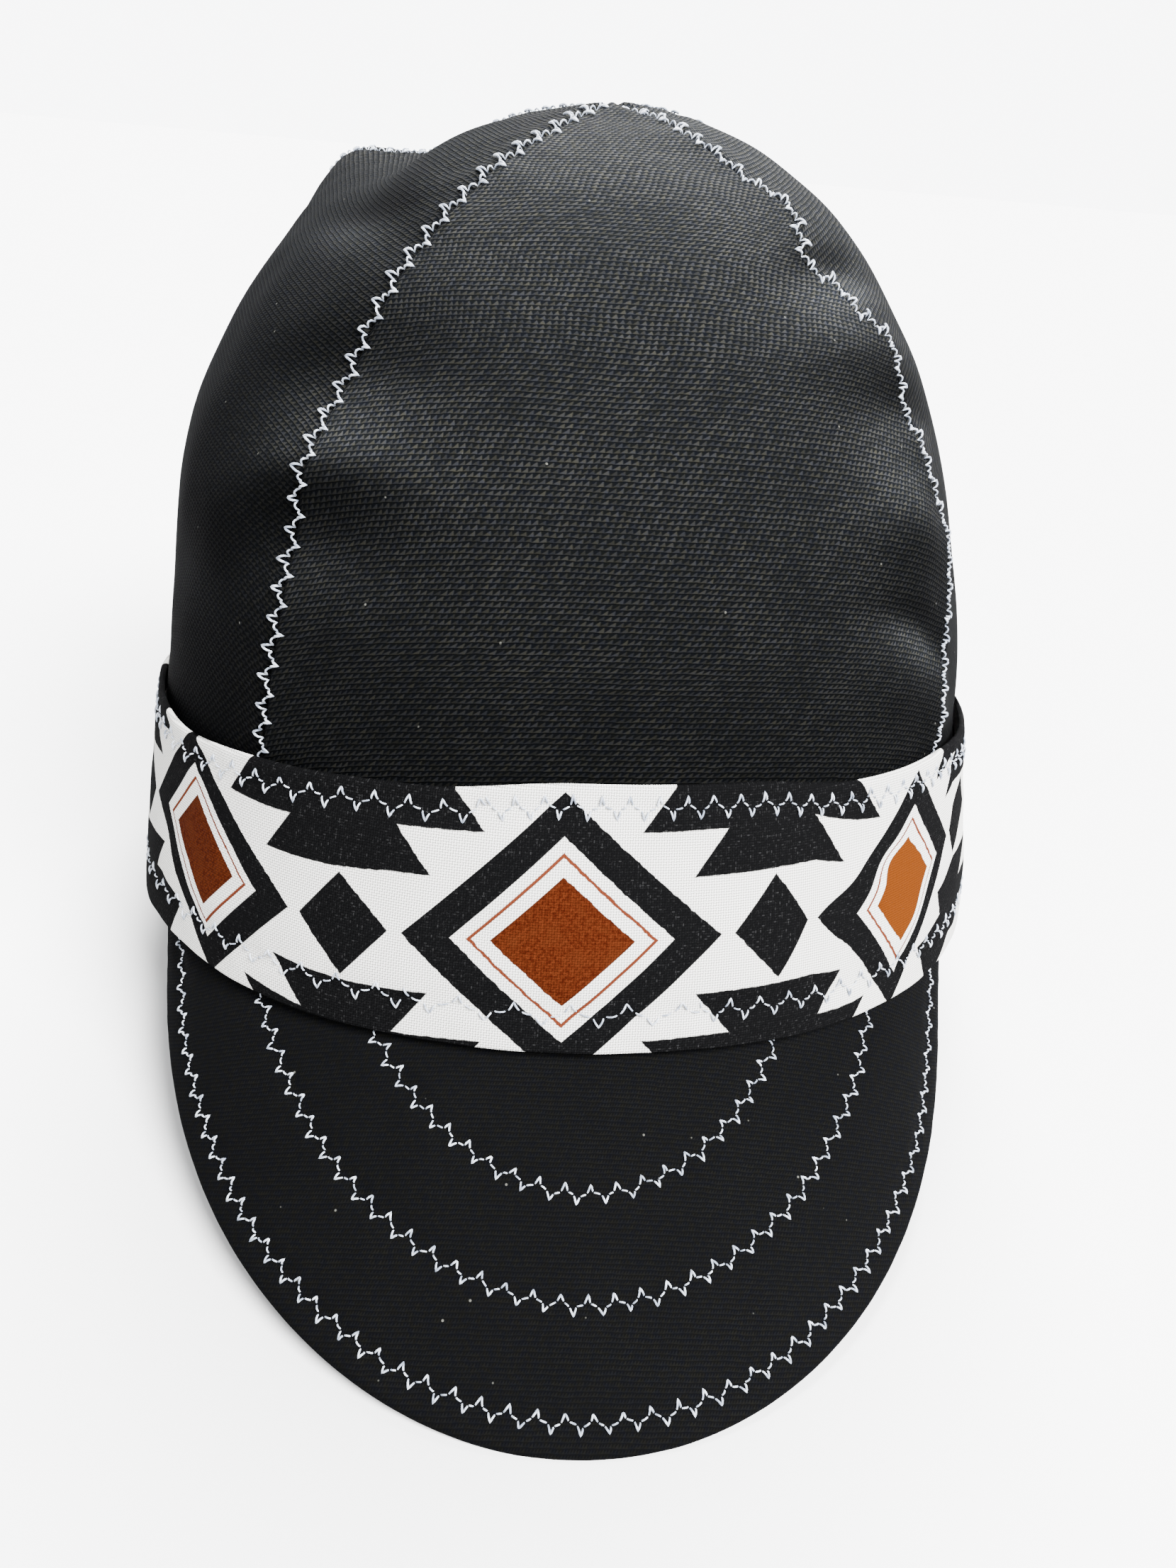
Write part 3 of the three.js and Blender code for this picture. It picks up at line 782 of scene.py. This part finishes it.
def outline_front(x, height, offset):
    width, length = half_sizes(x > 0, height, offset)
    reach = (1 - np.abs(x / width) ** HEAD_SQUARENESS).clip(0)
    return -length * reach ** (1 / HEAD_SQUARENESS)


def rim_front(x):
    return outline_front(x, 0, -HEM_FLARE)


def beside_rim(x, height, offset, drop=0.0):
    return np.stack([x, outline_front(x, height, offset), 0 * x + height - drop], -1)


def rounded(inset, radius):
    """How far a soft round edge of that radius falls away, by the distance in from it."""
    return radius - np.sqrt((radius ** 2 - (radius - np.minimum(inset, radius)) ** 2).clip(0))


def brim_edge(sweep):
    """Place to the side and length down the slope of the brim's edge."""
    forward = np.cos(sweep).clip(0) ** (2 / BRIM_SQUARENESS)
    x = brim_half_width * signed_power(np.sin(sweep), 2 / BRIM_SQUARENESS) + BRIM_SKEW * forward
    ahead = (BRIM_LENGTH + BRIM_SETBACK) * forward - BRIM_SETBACK
    return x, ahead + (rim_front(x) + HEAD_LENGTH / 2) * slope_forward


def brim_facing(x):
    slant = (rim_front(x + 0.1) - rim_front(x - 0.1)) / 0.2
    along_rim = np.stack([1 + 0 * x, slant, 0 * x], -1)
    return unit(np.cross(np.array((0, -slope_forward, -slope_down)), along_rim))


def on_slope(x, length):
    return np.stack([x, rim_front(x) - length * slope_forward, -length * slope_down], -1)


def ahead_of_rim(x, length):
    """How far a place lies down the slope from a straight line across the rim's front."""
    return length - (rim_front(x) + HEAD_LENGTH / 2) * slope_forward


def edge_end(side):
    ahead, behind = 0.0, math.pi / 2
    for _ in range(30):
        middle = (ahead + behind) / 2
        x, length = brim_edge(np.array(side * middle))
        if rim_front(x) - length * slope_forward < outline_front(x, 0, ALLOWANCE_OUT):
            ahead = middle
        else:
            behind = middle
    return side * ahead


bend_drop = (HEM_FLARE + ALLOWANCE_OUT) * math.tan(BRIM_DROOP)
bend_thickness = BRIM_CLOTH / slope_forward - TURNUP_CLOTH * math.tan(BRIM_DROOP)
sweeps = np.linspace(edge_end(-1), edge_end(1), BRIM_COLUMNS + 1)
edge_x, edge_length = brim_edge(sweeps)
outer_sweep = np.linspace(-math.pi / 2, math.pi / 2, 900)
outer_x, outer_length = brim_edge(outer_sweep)
edge_plan = np.stack([outer_x, ahead_of_rim(outer_x, outer_length)], -1)


def brim_relief(x, ahead, inset):
    """Quilting of the brim: dips at the stitch rows, and slack cloth between them."""
    place = np.stack([x, ahead, 0 * x], -1)
    relief = waves(place, BRIM_WAVES) * smooth(inset, 0.5, 5.0)
    for row in ROW_INSETS:
        relief -= ROW_DIP * hill(inset - row, ROW_DIP_WIDTH)
        relief += ROW_PUCKER * gentle_noise(place, ROW_PUCKER_LENGTH) * hill(inset - row, ROW_PUCKER_WIDTH)
    return relief


def inset_of(x, ahead):
    place = np.stack([x, ahead], -1)
    return np.linalg.norm(place[..., None, :] - edge_plan, axis=-1).min(-1)


bend_top = beside_rim(edge_x, 0, ALLOWANCE_OUT, bend_drop)
bend_under = beside_rim(edge_x, 0, SEAM_GAP, bend_drop + bend_thickness)
share = (np.linspace(0, 1, BRIM_ROWS + 1) ** 1.5)[None, :, None]
edge_top = on_slope(edge_x, edge_length)
edge_facing = brim_facing(edge_x)
edge_under = edge_top - BRIM_CLOTH * edge_facing
top = edge_top[:, None] * (1 - share) + bend_top[:, None] * share
under = edge_under[:, None] * (1 - share) + bend_under[:, None] * share
grid_x = top[..., 0]
grid_ahead = ahead_of_rim(grid_x, -top[..., 2] / slope_down)
inset = inset_of(grid_x, grid_ahead)
round_off = rounded(inset, BRIM_EDGE_ROUND)
held = smooth(-top[..., 2] - bend_drop, 0.0, 4.0)
relief = brim_relief(grid_x, grid_ahead, inset) * held
top = top + (relief - round_off)[..., None] * edge_facing[:, None]
under = under + (0.5 * relief + round_off)[..., None] * edge_facing[:, None]
for turned_up in (0.0, TURNUP_HEIGHT):
    top = np.concatenate([top, beside_rim(edge_x, turned_up, ALLOWANCE_OUT)[:, None]], 1)
    under = np.concatenate([under, beside_rim(edge_x, turned_up, SEAM_GAP)[:, None]], 1)
brim_uv = np.stack([top[..., 0], -np.concatenate([grid_ahead, grid_ahead[:, -1:] - 5,
                                                  grid_ahead[:, -1:] - 13], 1)], -1)
brim_duck = duck_cloth("brim_duck", (0.0019, 0.0019, 0.0022, 1), (0.0036, 0.0036, 0.0037, 1),
                       row_pitch=0.7, column_pitch=0.45, weave_depth=0.00003, height_painted_light=1.0)
brim = show("brim_cloth", cloth_mesh("brim_cloth", to_rest(top), to_rest(under), brim_uv), brim_duck)
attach(brim, "root")
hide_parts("brim")


# The brim's stitching
# Three rows of the same pale zigzag follow the brim's edge, one close to it and two further in,
# and run up under the band at both sides.

BRIM_PITCH, BRIM_WIDTH = 0.0041, 0.0028
THREAD, LOOSENESS, LIFT = 0.00037, 0.00018, 0.12
row_lines = []
for row in ROW_INSETS:
    along_edge = np.gradient(edge_plan, axis=0)
    inwards = unit(np.stack([along_edge[:, 1], -along_edge[:, 0]], -1))
    place = edge_plan + row * inwards
    x, ahead = place[:, 0], place[:, 1]
    length = ahead + (rim_front(x) + HEAD_LENGTH / 2) * slope_forward
    end_length = np.interp(x, edge_x, edge_length)
    bend_at = bend_drop / slope_down
    part = ((end_length - length) / (end_length - bend_at)).clip(0, 1)[:, None]
    at_bend = beside_rim(x, 0, ALLOWANCE_OUT, bend_drop)
    surface = on_slope(x, end_length) * (1 - part) + at_bend * part
    shown = (length > bend_at - 0.3) & (np.abs(x) < np.abs(edge_x).max() - 1)
    facing_out = brim_facing(x)
    held_row = smooth(-surface[:, 2] - bend_drop, 0.0, 4.0)
    lift = brim_relief(x, ahead, 0 * x + row) * held_row + LIFT
    row_lines.append(stitch_line(surface + lift[:, None] * facing_out, facing_out, shown))
brim_stitches = sew("brim_stitches", row_lines, BRIM_PITCH, BRIM_WIDTH, THREAD, LOOSENESS, seed=11)
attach(brim_stitches, "root")


# The band
# A strip of printed cotton, folded to a hem along both edges and sewn round the rim over the
# crown's hem and the brim's turned-up allowance. Its ends meet in a seam at the back. The print is
# the traditional stepped-diamond pattern: framed rust diamonds, small diamonds and stepped bars.

BAND_DROP_FRONT, BAND_DROP_BACK, BAND_FOOT_LEAN = 4.4, 1.6, 0.7
BAND_CLOTH = 1.2
TURNUP_FADE = math.radians(22)
BAND_COLUMNS, BAND_ROWS, BAND_CROWDING = 560, 40, 0.13
BAND_EDGE_ROUND = 0.55
PRINT_LINE, PRINT_LINE_LEAN = 13.2, 1.7
TOP_ROW_INSET, FOOT_ROW_INSET = 3.3, 6.7


def band_foot(angle):
    share = (1 + np.cos(angle)) / 2
    return -(BAND_DROP_BACK + (BAND_DROP_FRONT - BAND_DROP_BACK) * share) + BAND_FOOT_LEAN * np.sin(angle)


turnup_width, _ = half_sizes(True, 0, ALLOWANCE_OUT)
turnup_end = math.asin((brim_half_width / turnup_width) ** (HEAD_SQUARENESS / 2))


def band_lift(angle, height):
    """How far the brim's turned-up allowance lifts the band off the crown."""
    from_front = np.abs((angle + math.pi) % (2 * math.pi) - math.pi)
    fade = 1 - smooth(from_front, turnup_end, turnup_end + TURNUP_FADE)
    above = (band_top(angle) - height) / (band_top(angle) - TURNUP_HEIGHT)
    return ALLOWANCE_OUT * fade * np.clip(above, 0, 1)


# Slack of the band's top edge: place along the band, half width, and how far it stands out
TOP_SLACK = [(-84, 20, 1.6), (-52, 12, 0.5), (64, 16, 0.9), (96, 20, 1.0)]
TOP_SLACK_DOWN = 9.0
BAND_WAVES = ((0.45, 24.0, (13, 5, 1)), (0.16, 7.0, (0, 0, 0)))
HEM_DIP, HEM_DIP_WIDTH, HEM_PUCKER, HEM_PUCKER_WIDTH = 0.24, 1.5, 0.2, 3.5
JOIN_RISE, JOIN_RISE_WIDTH, JOIN_DIP, JOIN_DIP_WIDTH = 0.3, 5.0, 0.7, 0.8


def top_slack(along, from_top):
    return sum(out * hill(along - at, wide) for at, wide, out in TOP_SLACK) * hill(from_top, TOP_SLACK_DOWN)


def band_relief(along, from_foot, from_top, half_round):
    place = np.stack([along, from_foot, 0 * along], -1)
    relief = waves(place, BAND_WAVES) + top_slack(along, from_top)
    for away in (from_top - TOP_ROW_INSET, from_foot - FOOT_ROW_INSET):
        relief -= HEM_DIP * hill(away, HEM_DIP_WIDTH)
        relief += HEM_PUCKER * gentle_noise(place + (7, 3, 23), 3.4) * hill(away, HEM_PUCKER_WIDTH)
    to_seam = half_round - np.abs(along)
    return relief + JOIN_RISE * hill(to_seam, JOIN_RISE_WIDTH) - JOIN_DIP * hill(to_seam, JOIN_DIP_WIDTH)


def band_form(angle, height, offset):
    return outline_point(angle, height, SEAM_GAP + BAND_CLOTH + band_lift(angle, height) + offset)


line_angle = np.linspace(0, math.pi, 600)
line_length = {}
for side in (-1, 1):
    middle = band_form(side * line_angle, PRINT_LINE + PRINT_LINE_LEAN * np.sin(side * line_angle), 0)
    line_length[side] = lengths_along(middle)


def along_band(angle):
    """Length along the band from its centre front, to the right positive."""
    return np.where(angle < 0, -np.interp(-angle, line_angle, line_length[-1]),
                    np.interp(angle, line_angle, line_length[1]))


band_angle = np.linspace(-math.pi, math.pi, BAND_COLUMNS + 1)
rows_up = np.linspace(0, 1, BAND_ROWS + 1)
rows_up = rows_up - BAND_CROWDING * np.sin(2 * math.pi * rows_up)
angle, up = np.meshgrid(band_angle, rows_up, indexing="ij")
foot, crest = band_foot(angle), band_top(angle)
height = foot + (crest - foot) * up
along = along_band(angle)
half_round = min(line_length[-1][-1], line_length[1][-1])
from_foot = lengths_along(band_form(angle, height, 0), 1)
from_top = from_foot[:, -1:] - from_foot
line_height = PRINT_LINE + PRINT_LINE_LEAN * np.sin(band_angle)
line_at = np.array([np.interp(line_height[i], height[i], from_foot[i]) for i in range(len(band_angle))])
round_off = rounded(np.minimum(from_foot, from_top), BAND_EDGE_ROUND)
relief = band_relief(along, from_foot, from_top, half_round)
outer = band_form(angle, height, relief - round_off)
inner = band_form(angle, height, top_slack(along, from_top) - BAND_CLOTH + round_off * 0.9)
band_uv = np.stack([along, from_foot - line_at[:, None]], -1)
band_mesh = cloth_mesh("band_cloth", to_rest(outer[:-1]), to_rest(inner[:-1]), band_uv, goes_round=True)

# Sizes of the print, in millimetres along the band and up it from the print's middle line
PRINT_PITCH = 69.7
RUST_DIAMOND, FINE_LINE, WHITE_DIAMOND, FRAME = (11.1, 10.5), (14.4, 13.8), (17.3, 16.7), (25.0, 23.5)
SMALL_DIAMOND = (7.6, 8.7)
BARS = ((9.6, 17.4, 14.2, 8.1), (17.0, 30.0, 22.6, 12.2))
FINE_HALF, PRINT_EDGE, COTTON_THREAD = 0.38, 0.12, 0.42

# How the strip was cut and pulled askew of its print: shifts along and up it, with their slopes
# along and up, at the front and past the starts of its two sides
PRINT_SKEW = (1.95, 0.047), (-0.89, -0.033, 0.017)
LEFT_START, LEFT_REACH, LEFT_SKEW = 30.0, 55.0, ((0.12, 0.0082, -0.0044), (0.055, 0.006, -0.0043))
RIGHT_START, RIGHT_REACH, RIGHT_SKEW = 40.0, 45.0, ((0.066, -0.0132, 0.0079), (0.234, 0.0075, -0.0087))
# Where the cloth is pulled crooked about the right diamond: place from that diamond's middle along
# and up the print, half width and half height of the place, and the pull along, to the right positive
PRINT_PULLS = ((-6.5, 7.2, 6.0, 3.4, -4.6), (6.0, -7.0, 5.0, 3.8, 3.0), (-26.0, 0.0, 6.0, 11.0, -2.4))

# The rust is coloured brighter and more orange towards the right: where along the band it turns, and turns
# back
ORANGE_FROM, ORANGE_TO = (44.0, 58.0), (90.0, 150.0)

cotton = Shader("printed_cotton")
u, v = cotton.uv("cloth")
plane = cotton.plane(u, v)
wobble = cotton.minus(cotton.noise(plane, 0.8, 3.0), 0.5)
thread_u = cotton.times(u, 1 / COTTON_THREAD)
thread_v = cotton.times(v, 1 / COTTON_THREAD)
warp = cotton.math("ABSOLUTE", cotton.math("SINE", cotton.times(thread_u, math.pi)))
weft = cotton.math("ABSOLUTE", cotton.math("SINE", cotton.times(thread_v, math.pi)))
checker = cotton.math("FLOORED_MODULO", cotton.plus(cotton.math("FLOOR", thread_u),
                                                    cotton.math("FLOOR", thread_v)), 2.0)
over = cotton.times(warp, cotton.times_plus(checker, 0.6, 0.4))
under_thread = cotton.times(weft, cotton.times_plus(checker, -0.6, 1.0))
weave = cotton.larger(over, under_thread)
print_u = cotton.plus(cotton.times_plus(v, PRINT_SKEW[0][1], u), PRINT_SKEW[0][0])
print_v = cotton.plus(cotton.times_plus(u, PRINT_SKEW[1][1], v), PRINT_SKEW[1][0])
print_v = cotton.times_plus(v, PRINT_SKEW[1][2], print_v)
for side, start, reach, skew in ((-1, LEFT_START, LEFT_REACH, LEFT_SKEW),
                                 (1, RIGHT_START, RIGHT_REACH, RIGHT_SKEW)):
    past = cotton.math("MINIMUM", cotton.larger(cotton.times_plus(u, side, -start), 0.0),
                       reach)
    fade = cotton.ramp(cotton.times(u, side), start + reach, start + 2.5 * reach, 1.0, 0.0)
    shifts = []
    for constant, up_slope, growth in skew:
        rate = cotton.times_plus(v, up_slope, constant)
        rate = cotton.times_plus(past, growth, rate)
        shifts.append(cotton.times(cotton.times(rate, past), fade))
    print_u = cotton.plus(print_u, shifts[0])
    print_v = cotton.plus(print_v, shifts[1])
for at_u, at_v, wide, high, pull_u in PRINT_PULLS:
    beside = cotton.math("DIVIDE", cotton.minus(print_u, PRINT_PITCH + at_u), wide)
    above = cotton.math("DIVIDE", cotton.minus(print_v, at_v), high)
    away = cotton.plus(cotton.times(beside, beside),
                       cotton.times(above, above))
    near = cotton.math("EXPONENT", cotton.times(away, -1.0))
    print_u = cotton.times_plus(near, -pull_u, print_u)
print_u = cotton.times_plus(wobble, 0.5, print_u)
print_v = cotton.times_plus(wobble, 0.4, print_v)
from_big = cotton.math("ABSOLUTE", cotton.minus(cotton.math(
    "FLOORED_MODULO", cotton.plus(print_u, PRINT_PITCH / 2), PRINT_PITCH), PRINT_PITCH / 2))
from_small = cotton.minus(PRINT_PITCH / 2, from_big)
from_line = cotton.math("ABSOLUTE", print_v)


def inside_diamond(aside, half_sizes_of_it):
    wide, high = half_sizes_of_it
    reach = cotton.plus(cotton.math("DIVIDE", aside, wide), cotton.math("DIVIDE", from_line, high))
    return cotton.ramp(reach, 1 - PRINT_EDGE / wide, 1 + PRINT_EDGE / wide, 1.0, 0.0)


def inside_bar(low, high, half_low, half_high):
    narrowing_rate = (half_low - half_high) / (high - low)
    allowed = cotton.times_plus(cotton.minus(from_line, low), -narrowing_rate,
                                half_low)
    beside = cotton.ramp(cotton.minus(from_small, allowed), -PRINT_EDGE, PRINT_EDGE, 1.0, 0.0)
    above = cotton.ramp(from_line, low - PRINT_EDGE, low + PRINT_EDGE)
    below = cotton.ramp(from_line, high - PRINT_EDGE, high + PRINT_EDGE, 1.0, 0.0)
    return cotton.times(beside, cotton.times(above, below))


black = cotton.times(inside_diamond(from_big, FRAME),
                     cotton.minus(1.0, inside_diamond(from_big, WHITE_DIAMOND)))
black = cotton.larger(black, inside_diamond(from_small, SMALL_DIAMOND))
for bar in BARS:
    black = cotton.larger(black, inside_bar(*bar))
fine_outer, fine_inner = [[size + side * FINE_HALF for size in FINE_LINE] for side in (1, -1)]
fine = cotton.minus(inside_diamond(from_big, fine_outer), inside_diamond(from_big, fine_inner))
mottle = cotton.noise(plane, 1.6, 4.0, 0.7)
cloud = cotton.noise(plane, 0.25, 3.0)
white_ink = cotton.mix(cotton.ramp(weave, 0.25, 0.9), (0.28, 0.275, 0.26, 1), (0.80, 0.79, 0.76, 1))
fleck = cotton.ramp(cotton.times(mottle, cotton.ramp(weave, 0.3, 1.0, 0.6, 1.0)), 0.45, 0.8)
black_ink = cotton.mix(fleck, (0.0024, 0.0024, 0.0026, 1), (0.012, 0.012, 0.0125, 1))
bare = cotton.add("ShaderNodeTexWhiteNoise",
                  {"Vector": cotton.plane(cotton.math("FLOOR", thread_u), cotton.math("FLOOR", thread_v))},
                  noise_dimensions="2D")
bare = cotton.times(cotton.ramp(bare.outputs["Value"], 0.88, 1.0), cotton.ramp(weave, 0.5, 1.0))
black_ink = cotton.mix(cotton.times(bare, 0.3), black_ink, (0.036, 0.036, 0.037, 1))
rust_ink = cotton.mix(cotton.ramp(mottle, 0.35, 0.65), (0.026, 0.0038, 0.0012, 1),
                      (0.058, 0.0125, 0.0038, 1))
rust_ink = cotton.mix(cotton.ramp(cloud, 0.45, 0.7, 0.0, 0.7), rust_ink, (0.050, 0.0115, 0.0035, 1))
toward_right = cotton.times(cotton.ramp(u, *ORANGE_FROM, 0.0, 0.8),
                            cotton.ramp(u, *ORANGE_TO, 1.0, 0.0))
rust_ink = cotton.mix(toward_right, rust_ink, (0.105, 0.0265, 0.003, 1))
rust_ink = cotton.mix(cotton.ramp(weave, 0.2, 0.8, 0.45, 0.0), rust_ink, (0.018, 0.0026, 0.0010, 1))
ink = cotton.mix(black, white_ink, black_ink)
ink = cotton.mix(fine, ink, (0.085, 0.020, 0.009, 1))
ink = cotton.mix(inside_diamond(from_big, RUST_DIAMOND), ink, rust_ink)
cotton.surface.inputs["Specular IOR Level"].default_value = 0.01
printed_cotton = cotton.finish(ink, 0.9, weave, 0.00012, 0.7)
band = show("band_cloth", band_mesh, printed_cotton)
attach(band, "root")
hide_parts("band")


# The band's stitching
# A row of the same zigzag near the top edge holds the band to the crown, and a wider-spaced row
# near its foot goes through the brim's allowance as well. The rows are sewn in several runs.

def band_line(start, stop, inset_top=None, inset_foot=None):
    count = max(40, int(abs(stop - start) * 2))
    wanted = np.linspace(start, stop, count)
    fine_angle = np.linspace(-math.pi, math.pi, 2400)
    turn = np.interp(wanted, along_band(fine_angle), fine_angle)
    foot_of, top_of = band_foot(turn), band_top(turn)
    slope = np.hypot(1, HEM_FLARE / BAND_TOP_FRONT)
    level = top_of - inset_top / slope if inset_top is not None else foot_of + inset_foot / slope
    from_foot_here, from_top_here = (level - foot_of) * slope, (top_of - level) * slope
    lift = band_relief(wanted, from_foot_here, from_top_here, half_round) + LIFT
    surface = band_form(turn, level, lift)
    higher = band_form(turn, level + 0.5, lift)
    return stitch_line(surface, unit(np.cross(np.gradient(surface, axis=0), higher - surface)))


BAND_WIDTH = 0.0037
BAND_RUNS = [
    # pitch, seed, start and stop along the band, inset from its top, inset from its foot
    (0.0057, 21, -half_round + 1, -15, TOP_ROW_INSET, None),
    (0.0043, 22, -15, half_round - 1, TOP_ROW_INSET, None),
    (0.0068, 23, -half_round + 1, -26, None, FOOT_ROW_INSET),
    (0.0087, 24, -26, 20, None, FOOT_ROW_INSET),
    (0.0052, 25, 20, half_round - 1, None, FOOT_ROW_INSET),
]
for number, (pitch, seed, *run) in enumerate(BAND_RUNS, 1):
    stitches = sew(f"band_stitches_{number}", [band_line(*run)], pitch, BAND_WIDTH, THREAD, LOOSENESS,
                   seed)
    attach(stitches, "root")
